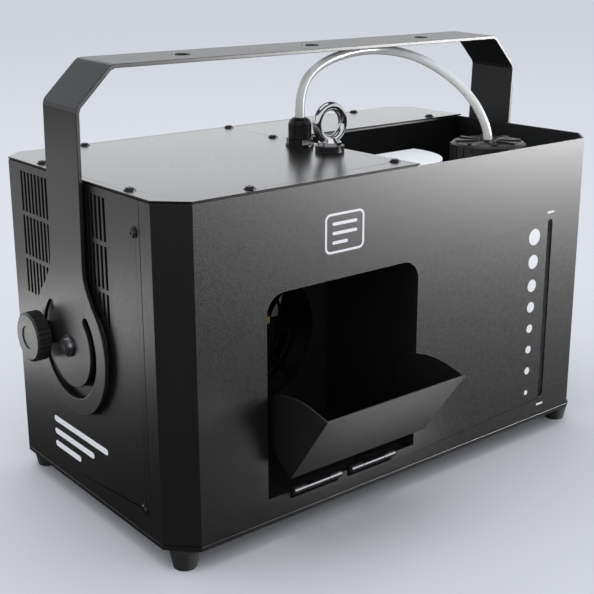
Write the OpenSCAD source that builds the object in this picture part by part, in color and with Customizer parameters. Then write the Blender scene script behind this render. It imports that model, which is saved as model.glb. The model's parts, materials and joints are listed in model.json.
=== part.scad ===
// Water-based fog machine (hazer) with a hanging yoke, a flap over its output
// opening and a fluid canister standing in an open compartment.
// Millimetres. +X runs along the body to the canister end, -Y is the output
// side, +Z is up. The floor under the rubber feet is z = 0. The modules measure
// Y from the middle of the sheet body, and y_off then puts the origin under the
// middle of the whole object, open flap and fuse cap included.

/* [Body] */
// length over the two side panels
body_l = 450; // [400:500]
// depth over the front and rear panels
body_d = 248; // [220:280]
// height of the sheet body without feet and cover
body_h = 252; // [220:280]
// 45 degree chamfer at the two front corners
chamfer_front = 20; // [10:30]
// 45 degree chamfer at the two rear corners
chamfer_rear = 16; // [8:24]
// panel sheet thickness
sheet_t = 1.5; // [1:0.5:3]
// height of the rubber feet
foot_h = 16; // [8:24]

/* [Output opening] */
// left edge of the opening
open_x0 = -145; // [-170:-120]
// right edge of the opening
open_x1 = 4.5; // [-20:20]
// lower edge above the bottom of the body
open_z0 = 21; // [15:40]
// upper edge above the bottom of the body
open_z1 = 178; // [140:200]
// radius of the two upper corners
open_r = 16; // [5:25]
// flap plate height from the hinge pin to its free edge
flap_h = 93; // [70:120]
// angle of the open flap from upright
flap_open = 35; // [0:60]
// left edge of the flap
flap_x0 = -137; // [-140:-130]
// right edge of the flap
flap_x1 = 0.5; // [-5:3]
// lower edge of the flap plate above the hinge pin
flap_foot = 23; // [15:30]
// length of each hinge
hinge_l = 46; // [40:50]

/* [Compartment] */
// left edge of the cut-out in the top cover
bay_x = 3; // [0:20]
// rear edge of the cut-out in the top cover
bay_y = 38; // [20:60]
// centre of the canister neck, X
cap_x = 157; // [120:180]
// centre of the canister neck, Y
cap_y = -57; // [-80:-30]
// outer diameter of the screw cap
cap_d = 67.5; // [50:80]

/* [Yoke] */
// strap width
yoke_w = 50; // [30:60]
// strap thickness
yoke_t = 3; // [2:5]
// gap between side panel and arm
yoke_gap = 3; // [2:10]
// pivot height above the floor
pivot_z = 139.5; // [120:160]
// pivot position in depth
pivot_y = 10; // [-20:30]
// pivot axis to the top face of the strap
yoke_reach = 212; // [180:260]
// lean of the yoke from upright, top towards the output side
yoke_lean = 2; // [0:10]
// radius of the round arm ends
disc_r = 54.5; // [40:60]
// centre radius of the curved slot
slot_r = 37; // [25:45]

/* [Hose] */
// outside diameter of the fluid hose
hose_d = 8; // [4:12]

/* [View] */
// sub-part to draw

/* [Hidden] */
$fn = 48;
hx = body_l / 2;
hy = body_d / 2;
z0 = foot_h;
z1 = foot_h + body_h;
cov_z = z1 + 0.6;
cov_t = 1.4;
cov_top = cov_z + cov_t;
t = sheet_t;
oz0 = z0 + open_z0;
oz1 = z0 + open_z1;
gl_x = -14;
gl_y = -1;
eye_x = -14;
eye_y = -39;
eye_z = z0 + 276.8;
eye_ring = 13.6;
eye_bar = 3.6;
cap_top = z0 + 246;
arm_in = hx + yoke_gap;
arm_out = arm_in + yoke_t;
stud_y = pivot_y + slot_r;
hinge_y = -hy - 3.2;
hinge_z = oz0 + 1.5;
hinge_xs = [-124, -67];
// foremost point is the free edge of the open flap, rearmost the fuse cap
y_front = hinge_y + 0.6 * cos(flap_open) - flap_h * sin(flap_open);
y_rear = hy + 5.4;
y_off = -(y_front + y_rear) / 2;
fan_x = -70;
fan_z = 116;
vent_n = 23;
foot_xy = [[-209, -108], [209, -108], [-209, 106], [209, 106]];
cover_xy = [[-217, -66], [-217, 64], [-152, -115.5], [-152, 116], [-3, 116],
    [152, 116], [-6, -106], [-6, 46], [188, 46]];
hose_pts = [[-14, -1, 232], [-14, -1, 250], [-14, -1, 270], [-14, -1, 290],
    [-13.6, -1, 303], [-11.5, -1, 315], [-5, -1, 326], [7.5, -1, 334.5],
    [25, -1, 340.2], [48, 0, 343.4], [71.5, 0, 343.7], [94, -5, 340.8],
    [112, -14, 334.5], [126, -26, 324.5], [137.5, -37.5, 312], [146, -47, 298],
    [152, -53, 284], [156, -56.4, 270], [157, -57, 256], [157, -57, 240],
    [157, -57, 222], [157, -57, 200], [155, -57, 175], [151, -57, 145],
    [148, -57, 110], [146, -57, 80], [145, -57, 55]];

// plan outline of the body, moved inwards by d
function plan(d, cf = chamfer_front, cr = chamfer_rear) =
    let (a = hx - d, b = hy - d, f = cf - 0.5858 * d, r = cr - 0.5858 * d)
    [[-a + f, -b], [a - f, -b], [a, -b + f], [a, b - r],
     [a - r, b], [-a + r, b], [-a, b - r], [-a, -b + f]];

module ring(d0, d1, za, zb) {
    translate([0, 0, za])
        linear_extrude(zb - za)
            difference() {
                polygon(plan(d0));
                polygon(plan(d1));
            }
}

module box(p0, p1) {
    translate(p0)
        cube(p1 - p0);
}

module rod_x(p, l, r, n = 32) {
    translate(p)
        rotate([0, 90, 0])
            cylinder(h = l, r = r, $fn = n);
}

module rod_y(p, l, r, n = 32) {
    translate(p)
        rotate([-90, 0, 0])
            cylinder(h = l, r = r, $fn = n);
}

module rod_z(p, l, r, n = 32) {
    translate(p)
        cylinder(h = l, r = r, $fn = n);
}

// pan head screw with a washer, head up, seat at z = 0
module pan_screw(l, rs = 1.9, rh = 3.7, rw = 4.4) {
    difference() {
        union() {
            translate([0, 0, -l])
                cylinder(h = l + 1, r = rs, $fn = 20);
            cylinder(h = 0.6, r = rw, $fn = 28);
            translate([0, 0, 0.6])
                cylinder(h = 1.4, r1 = rh, r2 = rh * 0.72, $fn = 28);
        }
        translate([-2, -0.4, 1.2])
            cube([4, 0.8, 2]);
        translate([-0.4, -2, 1.2])
            cube([0.8, 4, 2]);
    }
}

module slot_z(x, za, zb, r, y0, y1) {
    rod_y([x, y0, za + r], y1 - y0, r, 24);
    rod_y([x, y0, zb - r], y1 - y0, r, 24);
    box([x - r, y0, za + r], [x + r, y1, zb - r]);
}

// ---------------------------------------------------------------- sheet body
module base_tray() {
    color([0.05, 0.05, 0.055])
    translate([0, y_off, 0])
    difference() {
        union() {
            ring(0, t, z0, z0 + 3.6);
            translate([0, 0, z0])
                linear_extrude(t)
                    polygon(plan(0.2));
            ring(t, 2 * t, z0, z0 + 14);
        }
        for (p = foot_xy)
            rod_z([p[0], p[1], z0 - 1], 4, 2.3, 20);
        for (i = [0:6])
            box([-198 + i * 7, -60, z0 - 1], [-195 + i * 7, 20, z0 + 3]);
    }
}

module front_panel() {
    color([0.05, 0.05, 0.055])
    translate([0, y_off, 0])
    difference() {
        union() {
            intersection() {
                ring(0, t, z0 + 4, z1);
                box([-hx - 1, -hy - 1, z0], [hx + 1, -90, z1 + 1]);
            }
            intersection() {
                ring(t, 2 * t, z0 + 16, z1 - 12);
                box([-hx - 1, -98, z0], [-hx + 10, -76, z1 + 1]);
            }
            intersection() {
                ring(t, 2 * t, z0 + 16, z1 - 12);
                box([hx - 10, -98, z0], [hx + 1, -76, z1 + 1]);
            }
        }
        box([open_x0, -hy - 1, oz0], [open_x1, -hy + 5, oz1 - open_r]);
        box([open_x0 + open_r, -hy - 1, oz0], [open_x1 - open_r, -hy + 5, oz1]);
        rod_y([open_x0 + open_r, -hy - 1, oz1 - open_r], 6, open_r, 40);
        rod_y([open_x1 - open_r, -hy - 1, oz1 - open_r], 6, open_r, 40);
        slot_z(165, z0 + 20.5, z0 + 185.5, 3, -hy - 1, -hy + 5);
        for (z = [z0 + 23, z0 + 228.5]) {
            rod_x([-hx - 1, -82, z], 10, 2.1, 20);
            rod_x([hx - 9, -82, z], 10, 2.1, 20);
        }
    }
}

module side_shell() {
    difference() {
        union() {
            intersection() {
                ring(0, t, z0 + 4, z1);
                box([-hx - 1, -89.6, z0], [-197, hy + 1, z1 + 1]);
            }
            intersection() {
                ring(t, 2 * t, z0 + 16, z1 - 12);
                box([-206, 60, z0], [-182, hy + 1, z1 + 1]);
            }
        }
        rod_x([-hx - 1, pivot_y, pivot_z], 5, 4.25);
        rod_x([-hx - 1, stud_y, pivot_z], 5, 4.25);
        for (z = [z0 + 23, z0 + 228.5])
            rod_x([-hx - 1, -82, z], 5, 2.1, 20);
        for (z = [z0 + 24, z0 + 126, z0 + 228])
            rod_y([-190, hy - 5, z], 6, 2.1, 20);
    }
}

module left_side_panel() {
    color([0.05, 0.05, 0.055])
    translate([0, y_off, 0])
    difference() {
        side_shell();
        for (i = [0:vent_n - 1]) {
            yv = 86 - 5.85 * i;
            dz = abs(yv - pivot_y) < 58 ? sqrt(58 * 58 - pow(yv - pivot_y, 2)) : 0;
            zl = max(z0 + 147.5, pivot_z + dz);
            box([-hx - 1, yv - 1.5, z0 + 214], [-hx + 3, yv + 1.5, z0 + 246]);
            box([-hx - 1, yv - 1.5, max(z0 + 178.5, zl)],
                [-hx + 3, yv + 1.5, z0 + 210.5]);
            if (zl < z0 + 173)
                box([-hx - 1, yv - 1.5, zl], [-hx + 3, yv + 1.5, z0 + 175]);
        }
    }
}

module right_side_panel() {
    color([0.05, 0.05, 0.055])
    translate([0, y_off, 0])
    mirror([1, 0, 0])
        side_shell();
}

module rear_panel() {
    color([0.05, 0.05, 0.055])
    translate([0, y_off, 0])
    difference() {
        box([-196.6, hy - t, z0 + 4], [196.6, hy, z1]);
        for (z = [z0 + 24, z0 + 126, z0 + 228]) {
            rod_y([-190, hy - 5, z], 6, 2.1, 20);
            rod_y([190, hy - 5, z], 6, 2.1, 20);
        }
        // air inlet behind the fan
        for (i = [0:13])
            slot_z(fan_x - 52 + 8 * i, z0 + 58, z0 + 142, 1.75, hy - 4, hy + 1);
        // display and button holes
        box([82, hy - 4, z0 + 196], [138, hy + 1, z0 + 222]);
        for (i = [0:3])
            rod_y([86 + 16 * i, hy - 4, z0 + 180], 6, 4.3, 28);
        // signal sockets
        for (x = [20, 50])
            rod_y([x, hy - 4, z0 + 205], 6, 12.2, 36);
        // mains inlet, fuse and switch
        box([-166.3, hy - 4, z0 + 188.2], [-137.7, hy + 1, z0 + 209.8]);
        rod_y([-112, hy - 4, z0 + 199], 6, 6.4, 28);
        box([-92.3, hy - 4, z0 + 188.7], [-71.7, hy + 1, z0 + 209.3]);
    }
}

module cover_outline() {
    difference() {
        polygon(plan(0));
        translate([bay_x, -hy - 5])
            square([hx - bay_x + 5, hy + 5 + bay_y]);
    }
}

module top_cover() {
    color([0.3, 0.3, 0.31])
    translate([0, y_off, 0])
    difference() {
        translate([0, 0, cov_z])
            linear_extrude(cov_t)
                cover_outline();
        for (p = cover_xy)
            rod_z([p[0], p[1], cov_z - 1], 4, 2.2, 20);
        rod_z([gl_x, gl_y, cov_z - 1], 4, 7.7, 32);
        rod_z([eye_x, eye_y, cov_z - 1], 4, 4.2, 28);
    }
}

module top_frame() {
    color([0.06, 0.06, 0.065])
    translate([0, y_off, 0])
    difference() {
        union() {
            ring(t, 13, cov_z - 1.6, cov_z);
            ring(t, 2 * t, z1 - 11, cov_z);
            box([-13, -hy + 3, cov_z - 1.6], [2.2, hy - 3, cov_z]);
            box([-13, bay_y + 0.8, cov_z - 1.6], [hx - 3, bay_y + 14, cov_z]);
            box([-26, -60, cov_z - 3.6], [-2, 14, cov_z]);
        }
        box([2.2, -hy - 1, z1 - 20], [hx + 1, bay_y + 0.8, cov_z + 1]);
        for (p = cover_xy)
            rod_z([p[0], p[1], cov_z - 5], 8, 2.1, 20);
        rod_z([gl_x, gl_y, cov_z - 5], 8, 7.7, 32);
        rod_z([eye_x, eye_y, cov_z - 5], 8, 4.2, 28);
    }
}

// inner walls and floor of the canister compartment
module tank_liner() {
    color([0.035, 0.035, 0.04])
    translate([0, y_off, 0])
    difference() {
        union() {
            box([5.4, -hy + 3.2, z0 + 4.5], [6.6, bay_y + 3.2, cov_z - 1.8]);
            box([5.4, bay_y + 2, z0 + 4.5], [hx - 3.4, bay_y + 3.2, cov_z - 1.8]);
            box([5.4, -hy + 3.2, z0 + 4.5], [hx - 3.4, bay_y + 3.2, z0 + 5.7]);
            box([2.6, bay_y + 2, cov_z - 3], [hx - 3.4, bay_y + 14, cov_z - 1.8]);
        }
        box([hx - 25, -hy - 1, z0], [hx + 1, -hy + 22, z0 + 20]);
        // clearance for the cover screw and the nut plate behind the right pivot
        rod_z([188, 46, cov_z - 6], 8, 2.3, 20);
        box([hx - 13, bay_y, pivot_z - 24], [hx, bay_y + 5, pivot_z + 24]);
    }
}

module output_duct() {
    color([0.02, 0.02, 0.02])
    translate([0, y_off, 0])
    difference() {
        box([-149, -hy + t, oz0 - 4], [5, -16, oz1 + 3]);
        box([-147.8, -hy - 1, oz0 - 2.8], [3.8, -17.2, oz1 + 1.8]);
        rod_y([fan_x, -20, fan_z], 8, 57, 60);
        rod_x([-152, -96, z0 + 150], 6, 7.5, 24);
    }
}

// ------------------------------------------------------------ feet, fasteners
module rubber_feet() {
    color([0.03, 0.03, 0.03])
    translate([0, y_off, 0])
    for (p = foot_xy)
        translate([p[0], p[1], 0])
            difference() {
                cylinder(h = foot_h, r1 = 8.6, r2 = 12, $fn = 36);
                translate([0, 0, -1])
                    cylinder(h = 7, r = 4.6, $fn = 28);
                cylinder(h = 30, r = 2.2, $fn = 20);
            }
}

module foot_screws() {
    color([0.6, 0.6, 0.62])
    translate([0, y_off, 0])
    for (p = foot_xy)
        translate([p[0], p[1], 0]) {
            translate([0, 0, 3.6])
                cylinder(h = 2.4, r = 4, $fn = 28);
            translate([0, 0, 5])
                cylinder(h = 18, r = 1.95, $fn = 20);
            translate([0, 0, z0 + t])
                cylinder(h = 3, r = 4, $fn = 6);
        }
}

module cover_screws() {
    color([0.6, 0.6, 0.62])
    translate([0, y_off, 0])
    for (p = cover_xy)
        translate([p[0], p[1], cov_top])
            pan_screw(5);
}

module side_screws() {
    color([0.12, 0.12, 0.13])
    translate([0, y_off, 0])
    for (s = [-1, 1])
        for (z = [z0 + 23, z0 + 228.5])
            translate([s * hx, -82, z])
                rotate([0, s * 90, 0])
                    pan_screw(6);
}

module rear_screws() {
    color([0.12, 0.12, 0.13])
    translate([0, y_off, 0])
    for (x = [-190, 190])
        for (z = [z0 + 24, z0 + 126, z0 + 228])
            translate([x, hy, z])
                rotate([-90, 0, 0])
                    pan_screw(6);
}

// --------------------------------------------------------- lifting eye, gland
module eye_bolt() {
    color([0.8, 0.8, 0.82])
    translate([0, y_off, 0])
    union() {
        translate([eye_x, eye_y, eye_z])
            rotate([90, 0, 0])
                rotate_extrude($fn = 56)
                    translate([eye_ring, 0])
                        circle(r = eye_bar, $fn = 24);
        rod_z([eye_x, eye_y, cov_top + 5.1], 2.6, 9.4, 36);
        translate([eye_x, eye_y, cov_top + 7.7])
            cylinder(h = 3, r1 = 8.4, r2 = 5.4, $fn = 32);
        rod_z([eye_x, eye_y, cov_top - 17], 23, 3.9, 24);
    }
}

module eye_bolt_collar() {
    color([0.06, 0.06, 0.06])
    translate([0, y_off, 0])
    difference() {
        rod_z([eye_x, eye_y, cov_top], 5, 11.8, 40);
        rod_z([eye_x, eye_y, cov_top - 1], 8, 4.1, 28);
    }
}

module eye_bolt_nut() {
    color([0.6, 0.6, 0.62])
    translate([0, y_off, 0])
    difference() {
        union() {
            rod_z([eye_x, eye_y, cov_z - 5.3], 1.6, 8.5, 32);
            rod_z([eye_x, eye_y, cov_z - 12], 6.7, 7.5, 6);
        }
        rod_z([eye_x, eye_y, cov_z - 20], 30, 4, 28);
    }
}

module gland_body() {
    color([0.03, 0.03, 0.03])
    translate([0, y_off, 0])
    difference() {
        union() {
            rod_z([gl_x, gl_y, cov_top], 1.4, 12, 40);
            rod_z([gl_x, gl_y, cov_top + 1.4], 4.6, 12, 6);
            rod_z([gl_x, gl_y, cov_top + 5.5], 6, 8, 32);
            rod_z([gl_x, gl_y, cov_top - 12], 13, 7.5, 32);
        }
        rod_z([gl_x, gl_y, cov_top - 20], 50, 4.3, 28);
    }
}

module gland_dome_nut() {
    color([0.03, 0.03, 0.03])
    translate([0, y_off, 0])
    difference() {
        union() {
            rod_z([gl_x, gl_y, cov_top + 6.4], 11.6, 9.7, 40);
            translate([gl_x, gl_y, cov_top + 18])
                cylinder(h = 3.4, r1 = 9.7, r2 = 8.4, $fn = 40);
            translate([gl_x, gl_y, cov_top + 21.4])
                cylinder(h = 2, r1 = 8.4, r2 = 5.6, $fn = 40);
        }
        rod_z([gl_x, gl_y, cov_top + 5], 7.3, 8.1, 32);
        rod_z([gl_x, gl_y, cov_top - 20], 50, 4.3, 28);
        for (i = [0:5])
            translate([gl_x, gl_y, cov_top + 6])
                rotate([0, 0, 60 * i])
                    translate([9.4, -10, 0])
                        cube([4, 20, 14]);
    }
}

module gland_lock_nut() {
    color([0.03, 0.03, 0.03])
    translate([0, y_off, 0])
    difference() {
        rod_z([gl_x, gl_y, cov_z - 8.6], 5, 11, 6);
        rod_z([gl_x, gl_y, cov_z - 20], 30, 7.6, 32);
    }
}

// ---------------------------------------------------------- hose and canister
function cr_pt(a, b, c, d, u) =
    0.5 * (2 * b + (c - a) * u + (2 * a - 5 * b + 4 * c - d) * u * u
    + (3 * b - a - 3 * c + d) * u * u * u);
function unit(v) = v / norm(v);
function crossv(a, b) = [a[1] * b[2] - a[2] * b[1], a[2] * b[0] - a[0] * b[2],
    a[0] * b[1] - a[1] * b[0]];
hn = len(hose_pts);
hose_path = [for (i = [0:hn - 2]) for (u = [0, 0.5])
    cr_pt(hose_pts[max(0, i - 1)], hose_pts[i], hose_pts[i + 1],
    hose_pts[min(hn - 1, i + 2)], u), hose_pts[hn - 1]];

module tube(path, r, n = 10, side = [0, 1, 0]) {
    m = len(path);
    tan = [for (i = [0:m - 1])
        unit(path[min(m - 1, i + 1)] - path[max(0, i - 1)])];
    pts = [for (i = [0:m - 1])
        let (u = unit(crossv(side, tan[i])), w = crossv(tan[i], u))
        for (k = [0:n - 1])
            path[i] + r * (cos(360 * k / n) * u + sin(360 * k / n) * w)];
    faces = concat(
        [[for (k = [0:n - 1]) k]],
        [[for (k = [n - 1:-1:0]) (m - 1) * n + k]],
        [for (i = [0:m - 2]) for (k = [0:n - 1])
            [i * n + k, (i + 1) * n + k, (i + 1) * n + (k + 1) % n]],
        [for (i = [0:m - 2]) for (k = [0:n - 1])
            [i * n + k, (i + 1) * n + (k + 1) % n, i * n + (k + 1) % n]]);
    polyhedron(points = pts, faces = faces, convexity = 6);
}

module fluid_hose() {
    color([0.9, 0.9, 0.88])
    translate([0, y_off, 0])
    tube(hose_path, hose_d / 2, 10);
}

module fluid_bottle() {
    color([0.92, 0.92, 0.92])
    translate([0, y_off, 0])
    difference() {
        union() {
            // main body with rounded upright corners
            for (x = [38, 186])
                for (y = [-96, 6])
                    rod_z([x, y, z0 + 6.2], 196, 16, 36);
            box([22, -96, z0 + 6.2], [202, 6, z0 + 202.2]);
            box([38, -112, z0 + 6.2], [186, 22, z0 + 202.2]);
            // shoulder, handle block and neck
            box([32, -102, z0 + 202], [192, 12, z0 + 212]);
            intersection() {
                box([34, -75, z0 + 211], [110, -13, z0 + 239]);
                rod_z([52, -23, z0 + 210], 30, 57, 64);
            }
            rod_z([cap_x, cap_y, z0 + 211], 6, 33, 40);
            rod_z([cap_x, cap_y, z0 + 211], 30, 26, 40);
        }
        // inside
        for (x = [38, 186])
            for (y = [-96, 6])
                rod_z([x, y, z0 + 8.2], 192, 14, 36);
        box([24, -96, z0 + 8.2], [200, 6, z0 + 200.2]);
        box([38, -110, z0 + 8.2], [186, 20, z0 + 200.2]);
        box([34, -100, z0 + 200], [190, 10, z0 + 210]);
        rod_z([cap_x, cap_y, z0 + 200], 60, 23.5, 40);
        // grip hole under the handle
        box([46, -76, z0 + 213.5], [86, -12, z0 + 228]);
    }
}

module bottle_cap() {
    color([0.03, 0.03, 0.03])
    translate([0, y_off, 0])
    difference() {
        union() {
            rod_z([cap_x, cap_y, cap_top - 26], 24.4, cap_d / 2 - 0.9, 56);
            translate([cap_x, cap_y, cap_top - 1.6])
                cylinder(h = 1.6, r1 = cap_d / 2 - 0.9, r2 = cap_d / 2 - 3, $fn = 56);
            for (i = [0:23])
                translate([cap_x, cap_y, cap_top - 26])
                    rotate([0, 0, 15 * i])
                        translate([cap_d / 2 - 1.4, -1.2, 0])
                            cube([1.4, 2.4, 24]);
            rod_z([cap_x, cap_y, cap_top - 0.5], 2.3, 7.5, 32);
            for (i = [0:7])
                translate([cap_x, cap_y, cap_top - 0.5])
                    rotate([0, 0, 45 * i + 8])
                        translate([10, -2.2, 0])
                            cube([19, 4.4, 2]);
        }
        rod_z([cap_x, cap_y, cap_top - 30], 27.6, 26.6, 48);
        rod_z([cap_x, cap_y, cap_top - 40], 60, 4.4, 28);
    }
}

module suction_filter() {
    color([0.6, 0.6, 0.62])
    translate([0, y_off, 0])
    difference() {
        union() {
            rod_z([145, cap_y, z0 + 12], 26, 8, 28);
            rod_z([145, cap_y, z0 + 38], 8, 5.6, 28);
        }
        rod_z([145, cap_y, z0 + 37], 20, 4.2, 28);
    }
}

// ----------------------------------------------------------------------- yoke
module arm_blank(x) {
    translate([x, 0, 0])
        rotate([90, 0, 90])
            linear_extrude(yoke_t)
                polygon([[-25, 180], [-25, 66], [-26, 59], [-28.5, 53], [-32, 47.5],
                    [-37, 40], [37, 40], [32, 47.5], [28.5, 53], [26, 59],
                    [25, 66], [25, 180]]);
    rod_x([x, 0, 0], yoke_t, disc_r, 72);
}

module yoke_solid() {
    difference() {
        union() {
            arm_blank(-arm_out);
            arm_blank(arm_in);
            translate([0, yoke_w / 2, 0])
                rotate([90, 0, 0])
                    linear_extrude(yoke_w)
                        polygon([
                            [-arm_out, 160], [-arm_out, 180], [-arm_out + 0.6, 183],
                            [-arm_out + 2, 185.4], [-204.4, 209.5], [-202, 211.3],
                            [-199, yoke_reach], [199, yoke_reach], [202, 211.3],
                            [204.4, 209.5], [arm_out - 2, 185.4],
                            [arm_out - 0.6, 183], [arm_out, 180], [arm_out, 160],
                            [arm_in, 160], [arm_in, 180], [arm_in - 1.2, 183],
                            [202.4, 207.4], [198.6, yoke_reach - yoke_t],
                            [-198.6, yoke_reach - yoke_t], [-202.4, 207.4],
                            [-arm_in + 1.2, 183], [-arm_in, 180], [-arm_in, 160]]);
        }
        for (x = [-127.5, 0, 127.5])
            rod_z([x, 0, yoke_reach - 10], 20, 7.5, 40);
        for (x = [-arm_out - 1, arm_in - 1]) {
            rod_x([x, 0, 0], yoke_t + 2, 4.5, 32);
            translate([x, 0, 0])
                rotate([90, 0, 90])
                    rotate([0, 0, 137])
                        rotate_extrude(angle = 266, $fn = 72)
                            translate([slot_r - 4.35, 0])
                                square([8.7, yoke_t + 2]);
            for (a = [137, 43])
                rod_x([x, slot_r * cos(a), slot_r * sin(a)], yoke_t + 2, 4.35, 32);
        }
    }
}

module yoke() {
    color([0.16, 0.16, 0.165])
    translate([0, y_off, 0])
    translate([0, pivot_y, pivot_z])
        rotate([yoke_lean, 0, 0])
            yoke_solid();
}

module both_sides() {
    children();
    mirror([1, 0, 0])
        children();
}

module pivot_screws() {
    color([0.5, 0.5, 0.52])
    translate([0, y_off, 0])
    both_sides()
        difference() {
            union() {
                rod_x([-arm_out - 4.6, pivot_y, pivot_z], 2.6, 6.2, 32);
                rod_x([-arm_out - 3, pivot_y, pivot_z], 22, 3.95, 28);
            }
            rod_x([-arm_out - 6, pivot_y, pivot_z], 2.8, 2.9, 6);
        }
}

module pivot_washers() {
    color([0.55, 0.55, 0.57])
    translate([0, y_off, 0])
    both_sides()
        difference() {
            rod_x([-arm_out - 2, pivot_y, pivot_z], 1.6, 8.5, 36);
            rod_x([-arm_out - 3, pivot_y, pivot_z], 5, 4.1, 28);
        }
}

module yoke_spacers() {
    color([0.05, 0.05, 0.05])
    translate([0, y_off, 0])
    both_sides()
        for (y = [pivot_y, stud_y])
            difference() {
                rod_x([-hx - 2.6, y, pivot_z], 2.6, 9.5, 36);
                rod_x([-hx - 4, y, pivot_z], 8, 4.15, 28);
            }
}

module yoke_nut_plates() {
    color([0.55, 0.55, 0.57])
    translate([0, y_off, 0])
    both_sides()
        difference() {
            union() {
                box([-hx + t, pivot_y - 20, pivot_z - 22],
                    [-hx + t + 2, stud_y + 16, pivot_z + 22]);
                for (y = [pivot_y, stud_y])
                    rod_x([-hx + t + 2, y, pivot_z], 7, 8, 6);
            }
            rod_x([-hx, pivot_y, pivot_z], 20, 4.0, 28);
            rod_x([-hx, stud_y, pivot_z], 20, 4.1, 28);
        }
}

module knob_solid() {
    difference() {
        union() {
            rod_x([-arm_out - 5.6, stud_y, pivot_z], 5.2, 8.5, 36);
            rod_x([-arm_out - 15, stud_y, pivot_z], 9.8, 19.6, 64);
            translate([-arm_out - 16.4, stud_y, pivot_z])
                rotate([0, 90, 0])
                    cylinder(h = 1.4, r1 = 17.6, r2 = 19.6, $fn = 64);
        }
        for (i = [0:29])
            translate([-arm_out - 17, stud_y, pivot_z])
                rotate([12 * i, 0, 0])
                    rotate([0, 90, 0])
                        translate([20.3, 0, -1])
                            cylinder(h = 13.4, r = 1.2, $fn = 6);
        rod_x([-arm_out - 9, stud_y, pivot_z], 20, 3.75, 28);
        rod_x([-arm_out - 17, stud_y, pivot_z], 1.4, 9, 36);
    }
}

module knob_left() {
    color([0.03, 0.03, 0.03])
    translate([0, y_off, 0])
    knob_solid();
}

module knob_right() {
    color([0.03, 0.03, 0.03])
    translate([0, y_off, 0])
    mirror([1, 0, 0])
        knob_solid();
}

module stud_solid() {
    rod_x([-arm_out - 9, stud_y, pivot_z], 24, 3.75, 28);
}

module knob_stud_left() {
    color([0.6, 0.6, 0.62])
    translate([0, y_off, 0])
    stud_solid();
}

module knob_stud_right() {
    color([0.6, 0.6, 0.62])
    translate([0, y_off, 0])
    mirror([1, 0, 0])
        stud_solid();
}

// ------------------------------------------------------------ flap and hinges
// flap drawn closed with the hinge pin on the origin, then opened
module flap_frame() {
    translate([0, hinge_y, hinge_z])
        rotate([flap_open, 0, 0])
            children();
}

module flap_side(x) {
    translate([x, 0, 0])
        rotate([90, 0, 90])
            linear_extrude(1.5)
                polygon([[0.6, flap_foot], [0.6, flap_h], [4.5, 92], [11, 89.5], [19, 86.4],
                    [28, 81.5], [36, 75.5], [44, 68], [50.5, 60], [55, 51.5],
                    [58, 43], [45, 27], [20, flap_foot]]);
}

module output_flap() {
    color([0.07, 0.07, 0.075])
    translate([0, y_off, 0])
    flap_frame() {
        box([flap_x0, 0.6, flap_foot], [flap_x1, 2.1, flap_h]);
        flap_side(flap_x0);
        flap_side(flap_x1 - 1.5);
    }
}

// narrow strips on the face of the front panel, with the outer knuckles
module hinge_body_leaves() {
    color([0.75, 0.75, 0.77])
    translate([0, y_off, 0])
    for (x = hinge_xs)
        translate([x, hinge_y, hinge_z])
            difference() {
                union() {
                    rod_x([0, 0, 0], 11.8, 2.6, 24);
                    rod_x([hinge_l - 11.8, 0, 0], 11.8, 2.6, 24);
                    box([0, 2, -6.5], [11.8, 3.2, 1]);
                    box([hinge_l - 11.8, 2, -6.5], [hinge_l, 3.2, 1]);
                    box([0, 2, -6.5], [hinge_l, 3.2, -2.3]);
                }
                rod_x([-1, 0, 0], hinge_l + 2, 1.35, 20);
            }
}

// leaves step inward from the middle knuckle and lie behind the plate
module hinge_flap_leaves() {
    color([0.75, 0.75, 0.77])
    translate([0, y_off, 0])
    flap_frame()
        for (x = hinge_xs)
            difference() {
                union() {
                    rod_x([x + 12.2, 0, 0], hinge_l - 24.4, 2.6, 24);
                    box([x + 12.2, -0.6, 0], [x + hinge_l - 12.2, 0.6, 12]);
                    box([x + 2, -0.6, 10.8], [x + hinge_l - 2, 3.3, 12]);
                    box([x + 2, 2.1, 10.8], [x + hinge_l - 2, 3.3, 33]);
                }
                rod_x([x - 1, 0, 0], hinge_l + 2, 1.65, 20);
            }
}

module hinge_pins() {
    color([0.75, 0.75, 0.77])
    translate([0, y_off, 0])
    for (x = hinge_xs)
        rod_x([x, hinge_y, hinge_z], hinge_l, 1.3, 20);
}

// ------------------------------------------------- heater, pump and fluid path
module heater_block() {
    color([0.6, 0.6, 0.62])
    translate([0, y_off, 0])
    difference() {
        union() {
            box([-200, -100, z0 + 40], [-164, 70, z0 + 96]);
            for (y = [-80, -40, 0, 40])
                rod_z([-182, y, z0 + 96], 7, 6, 24);
        }
        for (z = [z0 + 54, z0 + 82])
            rod_y([-182, -104, z], 180, 5, 24);
    }
}

module heater_brackets() {
    color([0.55, 0.5, 0.42])
    translate([0, y_off, 0])
    for (y = [-92, 52])
        difference() {
            box([-206, y, z0 + t], [-158, y + 10, z0 + 64]);
            box([-200.1, y - 1, z0 + 39.9], [-163.9, y + 11, z0 + 70]);
            box([-196, y - 1, z0 + 10], [-168, y + 11, z0 + 32]);
        }
}

module heater_nozzle() {
    color([0.72, 0.6, 0.35])
    translate([0, y_off, 0])
    difference() {
        union() {
            rod_z([-182, -96, z0 + 96], 40, 3, 20);
            rod_x([-185, -96, z0 + 150], 58, 3, 20);
            rod_z([-182, -96, z0 + 130], 23, 3, 20);
            rod_x([-136, -96, z0 + 150], 12, 5, 6);
            rod_x([-154, -96, z0 + 150], 3.4, 9, 24);
        }
        rod_x([-140, -96, z0 + 150], 30, 1.2, 16);
    }
}

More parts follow.
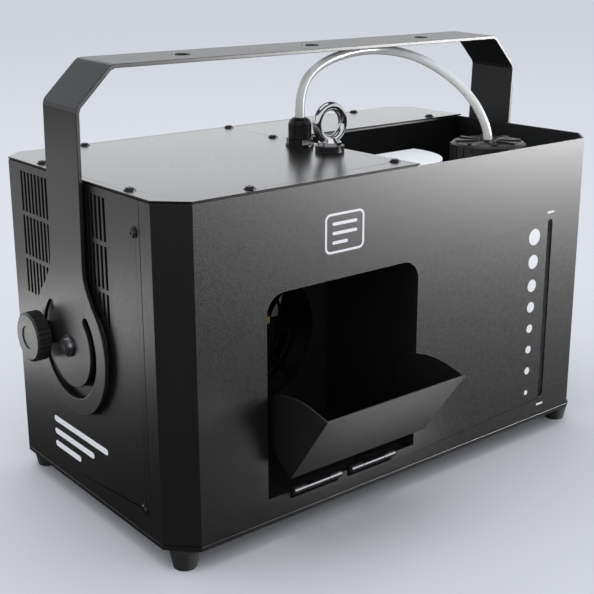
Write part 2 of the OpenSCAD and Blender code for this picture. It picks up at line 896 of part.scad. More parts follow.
module thermostat() {
    color([0.1, 0.1, 0.1])
    translate([0, y_off, 0])
    union() {
        rod_x([-164, -20, z0 + 70], 6, 9, 28);
        rod_x([-158, -20, z0 + 70], 4, 6.5, 28);
        box([-160, -28, z0 + 68.8], [-155, -12, z0 + 71.2]);
    }
}

module fluid_pump() {
    color([0.35, 0.35, 0.37])
    translate([0, y_off, 0])
    union() {
        rod_x([-128, 45, z0 + 40], 60, 19, 40);
        rod_x([-142, 45, z0 + 40], 14, 11, 28);
        rod_x([-68, 45, z0 + 40], 16, 10, 28);
        rod_x([-150, 45, z0 + 40], 8, 3, 20);
        rod_x([-52, 45, z0 + 40], 8, 3, 20);
        rod_x([-124, 45, z0 + 40], 4, 23, 4);
        rod_x([-76, 45, z0 + 40], 4, 23, 4);
    }
}

module pump_bracket() {
    color([0.55, 0.55, 0.57])
    translate([0, y_off, 0])
    for (x = [-136, -64])
        difference() {
            union() {
                box([x, 23, z0 + t + 2], [x + 2, 67, z0 + 54]);
                box([x - 8, 23, z0 + t], [x + 8, 67, z0 + t + 2]);
            }
            rod_x([x - 1, 45, z0 + 40], 4, 11.4, 28);
        }
}

in_path = [[-14, -1, 231.8], [-14, -1, 222], [-13, 2, 208], [-11, 10, 192],
    [-10, 20, 175], [-10, 28, 150], [-12, 34, 120], [-16, 40, 90],
    [-22, 44, 70], [-30, 45, 58], [-34, 45, 56], [-43.8, 45, 56]];
out_path = [[-150.2, 45, 56], [-154, 45, 56], [-157, 45, 60], [-157.5, 45, 70],
    [-157.5, 45, 86], [-157.5, 46, 104], [-158.5, 48, 115], [-162, 51, 122],
    [-170, 55, 125], [-178, 59, 122], [-182, 60, 117], [-182, 60, 112.2]];

module fluid_tubes() {
    color([0.85, 0.85, 0.83])
    translate([0, y_off, 0])
    union() {
        tube(in_path, 3, 8);
        tube(out_path, 3, 8);
    }
}

// ------------------------------------------------------------------------ fan
module fan_frame() {
    color([0.04, 0.04, 0.04])
    translate([0, y_off, 0])
    translate([fan_x, -15.6, fan_z])
        difference() {
            box([-60, 0, -60], [60, 25, 60]);
            rod_y([0, -1, 0], 27, 57.5, 64);
            for (x = [-52.5, 52.5])
                for (z = [-52.5, 52.5])
                    rod_y([x, -1, z], 27, 2.2, 20);
        }
    color([0.04, 0.04, 0.04])
    translate([0, y_off, 0])
    translate([fan_x, -15.6, fan_z])
        difference() {
            union() {
                rod_y([0, 22, 0], 3, 20, 36);
                for (a = [45, 135, 225, 315])
                    rotate([0, a, 0])
                        box([18, 22, -2.5], [58.5, 25, 2.5]);
            }
            rod_y([0, 10, 0], 20, 3.2, 24);
        }
}

module fan_rotor() {
    color([0.05, 0.05, 0.05])
    translate([0, y_off, 0])
    translate([fan_x, -15.6, fan_z])
        union() {
            rod_y([0, 2, 0], 18.5, 19, 36);
            rod_y([0, 20, 0], 5, 2.8, 24);
            for (i = [0:6])
                rotate([0, i * 360 / 7, 0])
                    translate([17, 4, -1])
                        rotate([28, 0, 0])
                            box([0, 0, -1], [37, 17, 1]);
        }
}

module fan_guard() {
    color([0.6, 0.6, 0.62])
    translate([0, y_off, 0])
    translate([fan_x, 9.7, fan_z])
        union() {
            for (r = [16, 30, 44, 56])
                rotate([-90, 0, 0])
                    rotate_extrude($fn = 48)
                        translate([r, 1])
                            square(1.8, center = true);
            for (a = [45, 135, 225, 315])
                rotate([0, a, 0])
                    box([15, 1.6, -1], [74, 3.2, 1]);
        }
}

// ----------------------------------------------------------------- electronics
module power_board() {
    color([0.05, 0.25, 0.12])
    translate([0, y_off, 0])
    union() {
        box([30, 52, z0 + 10], [190, 112, z0 + 11.6]);
        for (x = [36, 184])
            for (y = [58, 106])
                rod_z([x, y, z0 + t], 8.5, 3, 20);
    }
}

module board_parts() {
    color([0.15, 0.15, 0.16])
    translate([0, y_off, 0])
    union() {
        box([44, 62, z0 + 11.6], [84, 100, z0 + 44]);
        box([96, 60, z0 + 11.6], [104, 104, z0 + 36]);
        for (x = [118, 134])
            rod_z([x, 70, z0 + 11.6], 22, 6, 28);
        box([112, 88, z0 + 11.6], [140, 104, z0 + 28]);
        box([150, 62, z0 + 11.6], [176, 80, z0 + 26]);
        box([150, 92, z0 + 11.6], [180, 102, z0 + 24]);
    }
}

module control_board() {
    color([0.05, 0.25, 0.12])
    translate([0, y_off, 0])
    union() {
        box([76, 106, z0 + 168], [150, 107.6, z0 + 228]);
        for (i = [0:3])
            box([83 + 16 * i, 107.6, z0 + 177], [89 + 16 * i, 112, z0 + 183]);
        for (x = [79, 147])
            for (z = [z0 + 171, z0 + 225])
                rod_y([x, 107.6, z], hy - t - 107.6, 2.5, 20);
        box([92, 98, z0 + 186], [120, 106, z0 + 200]);
    }
}

module display_module() {
    color([0.02, 0.02, 0.025])
    translate([0, y_off, 0])
    difference() {
        union() {
            box([82.2, 112, z0 + 196.2], [137.8, hy + 0.6, z0 + 221.8]);
            box([79, hy, z0 + 193], [141, hy + 1.4, z0 + 225]);
        }
        box([86, hy + 0.8, z0 + 199], [134, hy + 3, z0 + 219]);
    }
}

module button(i) {
    color([0.1, 0.1, 0.1])
    translate([0, y_off, 0])
    union() {
        rod_y([86 + 16 * i, 113.2, z0 + 180], hy + 2.6 - 113.2, 3.9, 32);
        rod_y([86 + 16 * i, 120, z0 + 180], 1.8, 5.4, 32);
    }
}

module button_menu() {
    button(3);
}

module button_down() {
    button(2);
}

module button_up() {
    button(1);
}

module button_enter() {
    button(0);
}

module dmx_sockets() {
    color([0.2, 0.2, 0.21])
    translate([0, y_off, 0])
    for (x = [20, 50])
        difference() {
            union() {
                rod_y([x, hy - 22, z0 + 205], 22, 11.9, 36);
                box([x - 13, hy, z0 + 189.5], [x + 13, hy + 2, z0 + 220.5]);
            }
            rod_y([x, hy - 14, z0 + 205], 20, 9, 36);
            for (s = [[-9.5, 11.5], [9.5, -11.5]])
                rod_y([x + s[0], hy - 1, z0 + 205 + s[1]], 5, 1.6, 16);
        }
    color([0.75, 0.75, 0.77])
    translate([0, y_off, 0])
    for (x = [20, 50])
        for (a = [0, 120, 240])
            rod_y([x + 4.6 * cos(a + 90), hy - 16, z0 + 205 + 4.6 * sin(a + 90)],
                12, 1.2, 16);
}

module power_inlet() {
    color([0.03, 0.03, 0.03])
    translate([0, y_off, 0])
    difference() {
        union() {
            box([-166, hy - 20, z0 + 188.5], [-138, hy + 0.5, z0 + 209.5]);
            box([-177, hy, z0 + 185.5], [-127, hy + 2.4, z0 + 212.5]);
            rod_y([-112, hy - 30, z0 + 199], 30, 6.1, 28);
        }
        rod_y([-112, hy - 28, z0 + 199], 40, 3.7, 24);
        box([-163.8, hy - 16, z0 + 190.6], [-140.2, hy + 5, z0 + 207.4]);
        for (x = [-172, -132])
            rod_y([x, hy - 1, z0 + 199], 6, 1.7, 16);
    }
    color([0.7, 0.7, 0.72])
    translate([0, y_off, 0])
    for (x = [-159, -152, -145])
        box([x - 1, hy - 17, z0 + 198 + (x == -152 ? 2 : -2)],
            [x + 1, hy - 4, z0 + 202 + (x == -152 ? 2 : -2)]);
}

module fuse_cap() {
    color([0.03, 0.03, 0.03])
    translate([0, y_off, 0])
    difference() {
        union() {
            rod_y([-112, hy + 0.4, z0 + 199], 5, 8, 36);
            rod_y([-112, hy - 26, z0 + 199], 27, 3.2, 24);
        }
        box([-117, hy + 4, z0 + 198.4], [-107, hy + 6, z0 + 199.6]);
    }
}

module switch_housing() {
    color([0.03, 0.03, 0.03])
    translate([0, y_off, 0])
    difference() {
        union() {
            box([-92, hy - 18, z0 + 189], [-72, hy + 0.5, z0 + 209]);
            box([-94.5, hy, z0 + 186.5], [-69.5, hy + 1.6, z0 + 211.5]);
        }
        box([-89.5, hy - 9, z0 + 190.5], [-74.5, hy + 3, z0 + 207.5]);
        rod_x([-91, hy - 3.5, z0 + 199], 18, 1.35, 20);
    }
}

// rocker turns about X on a pin held by the housing walls
module switch_rocker() {
    color([0.3, 0.02, 0.02])
    translate([0, y_off, 0])
    translate([-82, hy - 3.5, z0 + 199])
        union() {
            rotate([8, 0, 0])
                rotate([90, 0, 90])
                    translate([0, 0, -7])
                        linear_extrude(14)
                            polygon([[-3.2, -7], [3.4, -7.4], [5.6, -7.6], [4.4, 0],
                                [5.6, 7.6], [3.4, 7.4], [-3.2, 7]]);
            rod_x([-8.6, 0, 0], 17.2, 1.2, 20);
        }
}

base_tray();
front_panel();
left_side_panel();
right_side_panel();
rear_panel();
top_cover();
top_frame();
tank_liner();
output_duct();
rubber_feet();
foot_screws();
cover_screws();
side_screws();
rear_screws();
eye_bolt();
eye_bolt_collar();
eye_bolt_nut();
gland_body();
gland_dome_nut();
gland_lock_nut();
fluid_hose();
fluid_bottle();
bottle_cap();
suction_filter();
yoke();
pivot_screws();
pivot_washers();
yoke_spacers();
yoke_nut_plates();
knob_left();
knob_right();
knob_stud_left();
knob_stud_right();
output_flap();
hinge_body_leaves();
hinge_flap_leaves();
hinge_pins();
heater_block();
heater_brackets();
heater_nozzle();
thermostat();
fluid_pump();
pump_bracket();
fluid_tubes();
fan_frame();
fan_rotor();
fan_guard();
power_board();
board_parts();
control_board();
display_module();
button_menu();
button_down();
button_up();
button_enter();
dmx_sockets();
power_inlet();
fuse_cap();
switch_housing();
switch_rocker();
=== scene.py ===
import json
import math

import bmesh
import bpy
from mathutils import Matrix, Vector


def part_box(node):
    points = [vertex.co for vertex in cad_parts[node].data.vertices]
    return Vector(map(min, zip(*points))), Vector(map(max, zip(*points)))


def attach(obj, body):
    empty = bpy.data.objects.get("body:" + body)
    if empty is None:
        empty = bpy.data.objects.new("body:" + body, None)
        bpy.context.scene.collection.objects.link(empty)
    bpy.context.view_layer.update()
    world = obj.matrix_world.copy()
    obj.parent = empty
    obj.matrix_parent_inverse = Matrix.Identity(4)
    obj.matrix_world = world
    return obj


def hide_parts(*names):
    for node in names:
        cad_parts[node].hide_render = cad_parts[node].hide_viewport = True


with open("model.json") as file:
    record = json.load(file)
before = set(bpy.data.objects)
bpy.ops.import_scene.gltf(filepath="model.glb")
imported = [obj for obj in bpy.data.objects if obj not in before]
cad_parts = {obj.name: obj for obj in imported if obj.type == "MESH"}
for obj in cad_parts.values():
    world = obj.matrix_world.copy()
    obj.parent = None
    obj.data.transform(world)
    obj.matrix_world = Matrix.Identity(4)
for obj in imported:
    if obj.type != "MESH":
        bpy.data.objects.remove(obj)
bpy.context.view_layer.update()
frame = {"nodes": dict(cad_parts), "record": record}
nodes = frame["nodes"]
MM = 0.001

# ------------------------------------------------------------------ landmarks
# The sheet body's box gives the places of everything drawn on its panels.
tray_lo, tray_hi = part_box("base_tray")
Y_MID = (tray_lo.y + tray_hi.y) / 2
FRONT_Y = tray_lo.y
LEFT_X = tray_lo.x
BASE_Z = tray_lo.z


def at(x, y, z):
    """A point given in millimetres from the middle of the body, on the floor."""
    return Vector((x * MM, y * MM + Y_MID, z * MM))


# --------------------------------------------------------------------- camera
CAM_AZ = math.radians(-38.15)
CAM_EL = math.radians(15.49)
CAM_ROLL = math.radians(-0.40)
CAM_PLACE = (-587.5, -700, 423.5)
CAM_LENS = 66.18
CAM_SHIFT = (0.0325, -0.067)


def make_camera():
    data = bpy.data.cameras.new("camera")
    data.sensor_width = 36
    data.lens = CAM_LENS
    data.shift_x, data.shift_y = CAM_SHIFT
    data.clip_start = 0.05
    data.clip_end = 60
    cam = bpy.data.objects.new("camera", data)
    bpy.context.scene.collection.objects.link(cam)
    bpy.context.scene.camera = cam
    back = Vector((math.sin(CAM_AZ) * math.cos(CAM_EL),
                   -math.cos(CAM_AZ) * math.cos(CAM_EL), math.sin(CAM_EL)))
    flat = Vector((math.cos(CAM_AZ), math.sin(CAM_AZ), 0))
    rise = back.cross(flat)
    right = flat * math.cos(CAM_ROLL) + rise * math.sin(CAM_ROLL)
    up = rise * math.cos(CAM_ROLL) - flat * math.sin(CAM_ROLL)
    turn = Matrix((right, up, back)).transposed().to_4x4()
    cam.matrix_world = Matrix.Translation(at(*CAM_PLACE)) @ turn


make_camera()


# ------------------------------------------------------------------ materials
def shader(name, **sockets):
    """A new material and its node tree, with constants on the shader's sockets."""
    mat = bpy.data.materials.new(name)
    mat.use_nodes = True
    tree = mat.node_tree
    bsdf = tree.nodes["Principled BSDF"]
    for key, value in sockets.items():
        bsdf.inputs[key.replace("_", " ")].default_value = value
    return mat, tree, bsdf


NOISE_ROUGHNESS = 0.55
NOISE_LOW, NOISE_HIGH = 0.3, 0.7


def noise(tree, scale, detail=3, stretch=None):
    """Noise in the object's own coordinates, stretched along an axis if asked."""
    coord = tree.nodes.new("ShaderNodeTexCoord")
    tex = tree.nodes.new("ShaderNodeTexNoise")
    tex.inputs["Scale"].default_value = scale
    tex.inputs["Detail"].default_value = detail
    tex.inputs["Roughness"].default_value = NOISE_ROUGHNESS
    out = coord.outputs["Object"]
    if stretch:
        mapping = tree.nodes.new("ShaderNodeMapping")
        mapping.inputs["Scale"].default_value = stretch
        tree.links.new(out, mapping.inputs["Vector"])
        out = mapping.outputs["Vector"]
    tree.links.new(out, tex.inputs["Vector"])
    return tex.outputs["Fac"]


def spread(tree, fac, low, high):
    """Maps noise to the range low..high."""
    node = tree.nodes.new("ShaderNodeMapRange")
    node.inputs["From Min"].default_value = NOISE_LOW
    node.inputs["From Max"].default_value = NOISE_HIGH
    node.inputs["To Min"].default_value = low
    node.inputs["To Max"].default_value = high
    tree.links.new(fac, node.inputs["Value"])
    return node.outputs["Result"]


def tint(tree, fac, dark, light):
    """Maps noise to the colours from dark to light."""
    ramp = tree.nodes.new("ShaderNodeValToRGB")
    ramp.color_ramp.elements[0].position = NOISE_LOW
    ramp.color_ramp.elements[0].color = (*dark, 1)
    ramp.color_ramp.elements[1].position = NOISE_HIGH
    ramp.color_ramp.elements[1].color = (*light, 1)
    tree.links.new(fac, ramp.inputs["Fac"])
    return ramp.outputs["Color"]


def relief(tree, bsdf, height, strength, distance):
    bump = tree.nodes.new("ShaderNodeBump")
    bump.inputs["Strength"].default_value = strength
    bump.inputs["Distance"].default_value = distance
    tree.links.new(height, bump.inputs["Height"])
    tree.links.new(bump.outputs["Normal"], bsdf.inputs["Normal"])


def surface(name, dark, light, rough, grain, bump, depth, stretch=None, **sockets):
    """Colour and roughness that drift over the surface, with a fine grain in relief."""
    mat, tree, bsdf = shader(name, **sockets)
    drift = noise(tree, 9, 4)
    tree.links.new(tint(tree, drift, dark, light), bsdf.inputs["Base Color"])
    fine = noise(tree, grain, 3, stretch=stretch)
    tree.links.new(spread(tree, fine, rough[0], rough[1]), bsdf.inputs["Roughness"])
    relief(tree, bsdf, fine, bump, depth)
    return mat


def grey(v):
    """A grey with a trace of blue."""
    return (v, v, v * 1.03)


MAT = {
    "case": surface("powder_coat", grey(0.0050), grey(0.0075), (0.34, 0.46), 1100, 0.22, 0.00010),
    "cover": surface("cover_coat", grey(0.0055), grey(0.0080), (0.20, 0.27), 700, 0.05, 0.00005),
    "inner": surface("matt_coat", grey(0.0040), grey(0.0065), (0.55, 0.65), 800, 0.12, 0.0001),
    "yoke": surface("yoke_coat", grey(0.0100), grey(0.0140), (0.34, 0.46), 1100, 0.22, 0.00010),
    "rubber": surface("rubber", grey(0.010), grey(0.018), (0.70, 0.85), 500, 0.30, 0.0002),
    "zinc": surface("zinc_plate", grey(0.48), grey(0.62), (0.24, 0.36), 400, 0.08, 0.00005,
                    (1, 1, 6), Metallic=1.0),
    "dark_screw": surface("black_oxide", grey(0.030), grey(0.055), (0.28, 0.38), 600, 0.08, 0.00005,
                          Metallic=0.8),
    # The liner coat is real black paint on the hinge leaves, and painted shade on the cover's cut
    # edges, the fan parts and the tank liner.
    "liner": surface("liner_coat", grey(0.0030), grey(0.0050), (0.50, 0.60), 700, 0.10, 0.0001,
                     Specular_IOR_Level=0.15),
    "chrome": surface("chrome", grey(0.55), grey(0.66), (0.05, 0.10), 300, 0.02, 0.00003,
                      Metallic=1.0),
    "hinge": surface("nickel_plate", grey(0.52), grey(0.64), (0.24, 0.34), 500, 0.06, 0.00004,
                     (6, 1, 1), Metallic=1.0),
    "plastic": surface("black_plastic", grey(0.0080), grey(0.0130), (0.38, 0.50), 700, 0.18,
                       0.0001),
    "gland": surface("gland_plastic", grey(0.0060), grey(0.0095), (0.26, 0.36), 600, 0.12, 0.0001,
                     Specular_IOR_Level=0.28),
    "button": surface("button_plastic", grey(0.040), grey(0.055), (0.42, 0.52), 700, 0.12, 0.00008),
    "rocker": surface("red_plastic", (0.32, 0.010, 0.008), (0.42, 0.018, 0.012), (0.18, 0.26), 400,
                      0.04, 0.00004),
    "bottle": surface("canister_plastic", (0.74, 0.75, 0.76), (0.83, 0.84, 0.85), (0.36, 0.46), 300,
                      0.15, 0.0002, Subsurface_Weight=0.15),
    "hose": surface("milky_tube", (0.74, 0.75, 0.73), (0.84, 0.85, 0.83), (0.20, 0.28), 250, 0.05,
                    0.0001, Subsurface_Weight=0.2, Coat_Weight=0.3),
    "aluminium": surface("cast_aluminium", grey(0.42), grey(0.55), (0.38, 0.52), 350, 0.35, 0.0002,
                         Metallic=1.0),
    "insulator": surface("mineral_board", (0.42, 0.37, 0.30), (0.52, 0.47, 0.38), (0.75, 0.9), 350,
                         0.35, 0.0003),
    "brass": surface("heat_darkened_brass", (0.050, 0.036, 0.020), (0.085, 0.060, 0.032),
                     (0.35, 0.5), 400, 0.08, 0.00005, Metallic=1.0),
    "pump": surface("pump_steel", grey(0.22), grey(0.32), (0.30, 0.42), 400, 0.08, 0.00005,
                    Metallic=1.0),
    "board": surface("solder_mask", (0.010, 0.075, 0.030), (0.016, 0.110, 0.045), (0.26, 0.36), 500,
                     0.06, 0.00005),
    "socket": surface("black_chrome", grey(0.10), grey(0.14), (0.22, 0.32), 500, 0.06, 0.00005,
                      Metallic=1.0),
    "print": surface("white_print", grey(0.74), grey(0.82), (0.50, 0.60), 600, 0.05, 0.00002),
    "display": surface("display_window", (0.004, 0.006, 0.008), (0.007, 0.010, 0.013), (0.06, 0.10),
                       300, 0.02, 0.00002, Coat_Weight=0.5),
}

FINISH = {
    "case_steel": "case", "cover_steel": "cover", "inner_steel": "inner", "yoke_steel": "yoke",
    "rubber": "rubber", "zinc_steel": "zinc", "dark_screw": "dark_screw", "chrome": "chrome",
    "hinge_steel": "hinge", "black_plastic": "plastic", "button_plastic": "button",
    "rocker_plastic": "rocker", "hose_plastic": "hose", "canister_plastic": "bottle",
    "aluminium": "aluminium", "insulator": "insulator", "brass": "brass", "pump_metal": "pump",
    "circuit_board": "board", "socket_metal": "socket",
}


def paint(obj, key):
    obj.data.materials.clear()
    obj.data.materials.append(MAT[key])


# Nodes whose finish is not the one their material slot stands for.
# The fan parts and the tank liner take the darker, duller liner coat as painted shade in the
# opening and the bay.
OWN_FINISH_AND_SHADE = {
    "fan_guard": "liner", "fan_rotor": "liner", "fan_frame": "liner", "tank_liner": "liner",
    "display_module": "display", "gland_body": "gland", "gland_dome_nut": "gland",
    "eye_bolt_collar": "gland",
}
KNUCKLE_REACH = 0.0029

for part in frame["record"]["subparts"]:
    paint(nodes[part["node"]], FINISH[part["material_slot"]])
for node, key in OWN_FINISH_AND_SHADE.items():
    paint(nodes[node], key)


def paint_leaves(node):
    """Bright knuckles round the pin, and black paint on the leaves beyond them."""
    pin_lo, pin_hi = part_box("hinge_pins")
    mid_y, mid_z = (pin_lo.y + pin_hi.y) / 2, (pin_lo.z + pin_hi.z) / 2
    obj = nodes[node]
    obj.data.materials.append(MAT["liner"])
    for face in obj.data.polygons:
        spots = [obj.matrix_world @ obj.data.vertices[i].co for i in face.vertices]
        far = max(math.hypot(p.y - mid_y, p.z - mid_z) for p in spots)
        face.material_index = 1 if far > KNUCKLE_REACH else 0


def paint_edge_shade(node):
    """The cut edge of a sheet lies in the gap round it and gets the dull, dark liner coat as
    painted shade.
    """
    obj = nodes[node]
    obj.data.materials.append(MAT["liner"])
    for face in obj.data.polygons:
        face.material_index = 1 if abs(face.normal.z) < 0.5 else 0


# Painted shade: the cover's cut edges take the dull, dark liner coat.
paint_edge_shade("top_cover")
paint_leaves("hinge_body_leaves")
paint_leaves("hinge_flap_leaves")


# ------------------------------------------------------- softened metal edges
SOFT_ANGLE = math.radians(35)
SOFT_EDGES = {
    "front_panel": 0.0004, "left_side_panel": 0.0003, "right_side_panel": 0.0003,
    "top_cover": 0.0003, "yoke": 0.0004, "output_flap": 0.0003, "base_tray": 0.0003,
    "fluid_bottle": 0.0016,
}


def soften(node, width):
    """Welds the CAD mesh's seams and rounds its sharp edges by a small radius."""
    obj = nodes[node]
    weld = obj.modifiers.new("weld", "WELD")
    weld.merge_threshold = 0.00001
    bevel = obj.modifiers.new("bevel", "BEVEL")
    bevel.width = width
    bevel.segments = 2
    bevel.limit_method = "ANGLE"
    bevel.angle_limit = SOFT_ANGLE
    bevel.use_clamp_overlap = True


# --------------------------------------------------------------------- pieces
def add(name, mesh_or_curve, body, finish):
    """Links a new piece, paints it and lets it ride on its body."""
    obj = bpy.data.objects.new(name, mesh_or_curve)
    bpy.context.scene.collection.objects.link(obj)
    paint(obj, finish)
    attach(obj, body)
    return obj


HOSE_D = 8
HOSE_ROUTE = [
    (-14, -1, 232), (-14, -1, 250), (-14, -1, 270), (-14, -1, 290), (-13.6, -1, 303),
    (-11.5, -1, 315), (-5, -1, 326), (7.5, -1, 334.5), (25, -1, 340.2), (48, 0, 343.4),
    (71.5, 0, 343.7), (94, -5, 340.8), (112, -14, 334.5), (126, -26, 324.5),
    (137.5, -37.5, 312), (146, -47, 298), (152, -53, 284), (156, -56.4, 270),
    (157, -57, 256), (157, -57, 240), (157, -57, 222), (157, -57, 200), (155, -57, 175),
    (151, -57, 145), (148, -57, 110), (146, -57, 80), (145, -57, 55)]


def make_hose():
    """The hose on its route: up out of the gland, over, and down through the cap."""
    curve = bpy.data.curves.new("fluid_line", "CURVE")
    curve.dimensions = "3D"
    curve.bevel_depth = HOSE_D / 2 * MM
    curve.bevel_resolution = 5
    curve.resolution_u = 6
    curve.use_fill_caps = True
    points = [at(*p) for p in HOSE_ROUTE]
    spline = curve.splines.new("BEZIER")
    spline.bezier_points.add(len(points) - 1)
    for i, knot in enumerate(spline.bezier_points):
        before = points[max(0, i - 1)]
        after = points[min(len(points) - 1, i + 1)]
        knot.co = points[i]
        knot.handle_left = points[i] - (after - before) / 6
        knot.handle_right = points[i] + (after - before) / 6
    hose = add("fluid_line", curve, "case", "hose")
    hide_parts("fluid_hose")


make_hose()


def prism(name, outline, at_point, u, v, hole=None):
    """A thin printed mark: an outline in millimetres in the plane of u and v."""
    bm = bmesh.new()
    depth = Vector(u).cross(Vector(v)) * PRINT_T * MM

    def loop(points, lift):
        return [bm.verts.new(at_point + (Vector(u) * a + Vector(v) * b) * MM + depth * lift)
                for a, b in points]

    outer = [loop(outline, k) for k in (0, 1)]
    n = len(outline)
    for i in range(n):
        j = (i + 1) % n
        bm.faces.new((outer[0][i], outer[0][j], outer[1][j], outer[1][i]))
    if hole is None:
        bm.faces.new(outer[1])
        bm.faces.new(outer[0][::-1])
    else:
        inner = [loop(hole, k) for k in (0, 1)]
        for i in range(n):
            j = (i + 1) % n
            bm.faces.new((inner[0][j], inner[0][i], inner[1][i], inner[1][j]))
            bm.faces.new((outer[1][i], outer[1][j], inner[1][j], inner[1][i]))
            bm.faces.new((outer[0][j], outer[0][i], inner[0][i], inner[0][j]))
    mesh = bpy.data.meshes.new(name)
    bm.to_mesh(mesh)
    bm.free()
    return add(name, mesh, "case", "print")


def round_rect(w, h, r):
    """The outline of a rectangle with rounded corners."""
    steps = 6
    points = []
    for cx, cy, a0 in ((w / 2 - r, h / 2 - r, 0), (r - w / 2, h / 2 - r, 90),
                       (r - w / 2, r - h / 2, 180), (w / 2 - r, r - h / 2, 270)):
        for k in range(steps + 1):
            a = math.radians(a0 + 90 * k / steps)
            points.append((cx + r * math.cos(a), cy + r * math.sin(a)))
    return points


def disc(r):
    """The outline of a round dot."""
    n = 40
    return [(r * math.cos(2 * math.pi * k / n), r * math.sin(2 * math.pi * k / n))
            for k in range(n)]


FRONT_U, FRONT_V = (1, 0, 0), (0, 0, 1)
SIDE_U, SIDE_V = (0, -1, 0), (0, 0, 1)
PRINT_T = 0.12
LEVEL_X = 144.7
TICK_X = 165
SIGN_X, SIGN_TOP = -72.7, 220
SIDE_END, SIDE_TOP = 55, 48
# height above the tray and radius of each dot beside the level slot
LEVEL_DOTS = [(172.9, 7.2), (150.9, 6.2), (129.3, 5.5), (109.7, 4.7), (90, 3.8), (70.5, 3.5),
              (50.5, 3.2), (29.8, 2.2)]


def on_front(x, z):
    """A point on the front panel, in millimetres from the middle and the tray."""
    return Vector((x * MM, FRONT_Y, BASE_Z + z * MM))


def on_left(y, z):
    """A point on the left side panel, in millimetres from the middle and the tray."""
    return Vector((LEFT_X, Y_MID + y * MM, BASE_Z + z * MM))


def make_marks():
    """Level dots, end ticks and plain bars: no lettering and no sign."""
    for i, (z, r) in enumerate(LEVEL_DOTS):
        prism(f"level_dot_{i + 1}", disc(r), on_front(LEVEL_X, z), FRONT_U, FRONT_V)
    for name, z in (("level_tick_top", 192), ("level_tick_bottom", 14)):
        prism(name, round_rect(9, 1.8, 0.8), on_front(TICK_X, z), FRONT_U, FRONT_V)
    prism("front_mark_frame", round_rect(38, 30, 5), on_front(SIGN_X, SIGN_TOP - 7),
          FRONT_U, FRONT_V, hole=round_rect(34.5, 26.5, 3.4))
    for i, w in enumerate((24, 24, 15)):
        prism(f"front_mark_bar_{i + 1}", round_rect(w, 2.4, 1.1),
              on_front(SIGN_X - (24 - w) / 2, SIGN_TOP - 7 * i), FRONT_U, FRONT_V)
    for i, w in enumerate((86, 64, 42)):
        prism(f"side_mark_bar_{i + 1}", round_rect(w, 5, 2.4),
              on_left(SIDE_END - w / 2, SIDE_TOP - 11 * i), SIDE_U, SIDE_V)


make_marks()

for node, width in SOFT_EDGES.items():
    soften(node, width)


# ------------------------------------------------------------ floor and light
FLOOR_COLOUR = (0.66, 0.67, 0.70, 1)
FLOOR_SIZE = 120


def make_floor():
    """A plain pale floor that gloss doesn't reflect."""
    bm = bmesh.new()
    bmesh.ops.create_grid(bm, x_segments=2, y_segments=2, size=FLOOR_SIZE)
    mesh = bpy.data.meshes.new("floor")
    bm.to_mesh(mesh)
    bm.free()
    floor = bpy.data.objects.new("floor", mesh)
    bpy.context.scene.collection.objects.link(floor)
    mat, _, _ = shader("floor", Base_Color=FLOOR_COLOUR, Roughness=0.95,
                       Specular_IOR_Level=0.0)
    floor.data.materials.append(mat)
    floor.visible_glossy = False


# Nodes that the sheen-only lamps leave alone.
KEPT_OFF = ("eye_bolt", "eye_bolt_collar", "gland_body", "gland_dome_nut", "hinge_pins",
            "hinge_body_leaves", "hinge_flap_leaves", "pivot_screws", "pivot_washers",
            "tank_liner", "fan_guard", "fan_rotor", "fan_frame", "output_duct")


def keep_off(lamp, names):
    """The lamp lights everything but the named nodes."""
    group = bpy.data.collections.new(lamp.name + "_skips")
    for name in names:
        group.objects.link(nodes[name])
    for item in group.collection_objects:
        item.light_linking.link_state = "EXCLUDE"
    lamp.light_linking.receiver_collection = group


MIDDLE = (0, 0, 0.15)
# name, place, target, size, watts, sheen only
LAMPS = [
    ("top_light", (0.0, 0.3, 3.0), MIDDLE, (2.5, 2.5), 22, False),
    ("back_light", (2.2, 2.8, 1.0), MIDDLE, (3.4, 1.6), 11, True),
    ("right_light", (1.08, -0.95, 0.42), (0.10, -0.1, 0.25), (0.6, 0.6), 58, True),
    ("left_light", (-0.40, 0.34, 0.13), (-0.225, 0, 0.13), (0.30, 0.25), 0.20, True),
    ("left_low_light", (-0.40, 0.34, 0.036), (-0.225, 0, 0.09), (0.30, 0.068), 0.22, True),
    ("flap_light", (0.01, -0.205, 0.004), (0.01, -0.205, 1), (0.16, 0.09), 0.2, True),
]


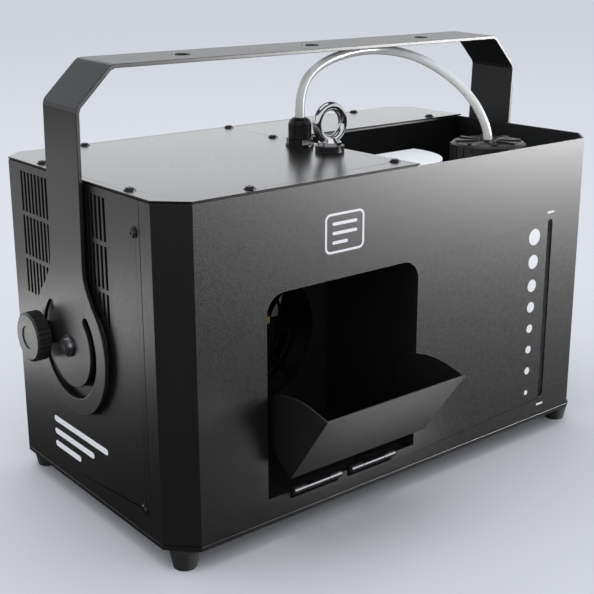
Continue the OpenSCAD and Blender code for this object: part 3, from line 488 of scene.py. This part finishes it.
def soft_box(name, place, target, size, power, sheen_only):
    """A rectangular studio lamp. A sheen lamp shows in gloss and leaves the floor alone."""
    data = bpy.data.lights.new(name, "AREA")
    data.shape = "RECTANGLE"
    data.size, data.size_y = size
    data.energy = power
    lamp = bpy.data.objects.new(name, data)
    lamp.location = place
    lamp.rotation_euler = (Vector(target) - Vector(place)).to_track_quat("-Z", "Y").to_euler()
    lamp.visible_diffuse = not sheen_only
    lamp.visible_camera = False
    bpy.context.scene.collection.objects.link(lamp)
    if sheen_only:
        keep_off(lamp, KEPT_OFF)


def make_world():
    """A pale dome over a dark studio, of which gloss sees only the lower part."""
    world = bpy.data.worlds.new("studio")
    bpy.context.scene.world = world
    world.use_nodes = True
    tree = world.node_tree
    back = tree.nodes["Background"]
    back.inputs["Strength"].default_value = 1.0
    coord = tree.nodes.new("ShaderNodeTexCoord")
    split = tree.nodes.new("ShaderNodeSeparateXYZ")
    scale = tree.nodes.new("ShaderNodeMapRange")
    scale.inputs["From Min"].default_value = -1
    scale.inputs["From Max"].default_value = 1
    tree.links.new(coord.outputs["Generated"], split.inputs["Vector"])
    tree.links.new(split.outputs["Z"], scale.inputs["Value"])
    dark, pale = (0.02, 0.02, 0.02, 1), (0.94, 0.96, 1.0, 1)

    def dome(*stops):
        ramp = tree.nodes.new("ShaderNodeValToRGB")
        elements = ramp.color_ramp.elements
        while len(elements) < len(stops):
            elements.new(0.5)
        for element, (place, colour) in zip(elements, stops):
            element.position = place
            element.color = colour
        tree.links.new(scale.outputs["Result"], ramp.inputs["Fac"])
        return ramp.outputs["Color"]

    seen = dome((0.46, dark), (0.52, pale))
    gloss = dome((0.46, dark), (0.52, pale), (0.76, pale), (0.84, (0.06, 0.06, 0.065, 1)))
    path = tree.nodes.new("ShaderNodeLightPath")
    mix = tree.nodes.new("ShaderNodeMix")
    mix.data_type = "RGBA"
    # A Mix node repeats its sockets per data type: 6, 7 and output 2 are the colours.
    tree.links.new(path.outputs["Is Glossy Ray"], mix.inputs["Factor"])
    tree.links.new(seen, mix.inputs[6])
    tree.links.new(gloss, mix.inputs[7])
    tree.links.new(mix.outputs[2], back.inputs["Color"])


make_floor()
make_world()
for lamp in LAMPS:
    soft_box(*lamp)
bpy.context.scene.view_settings.view_transform = "Standard"
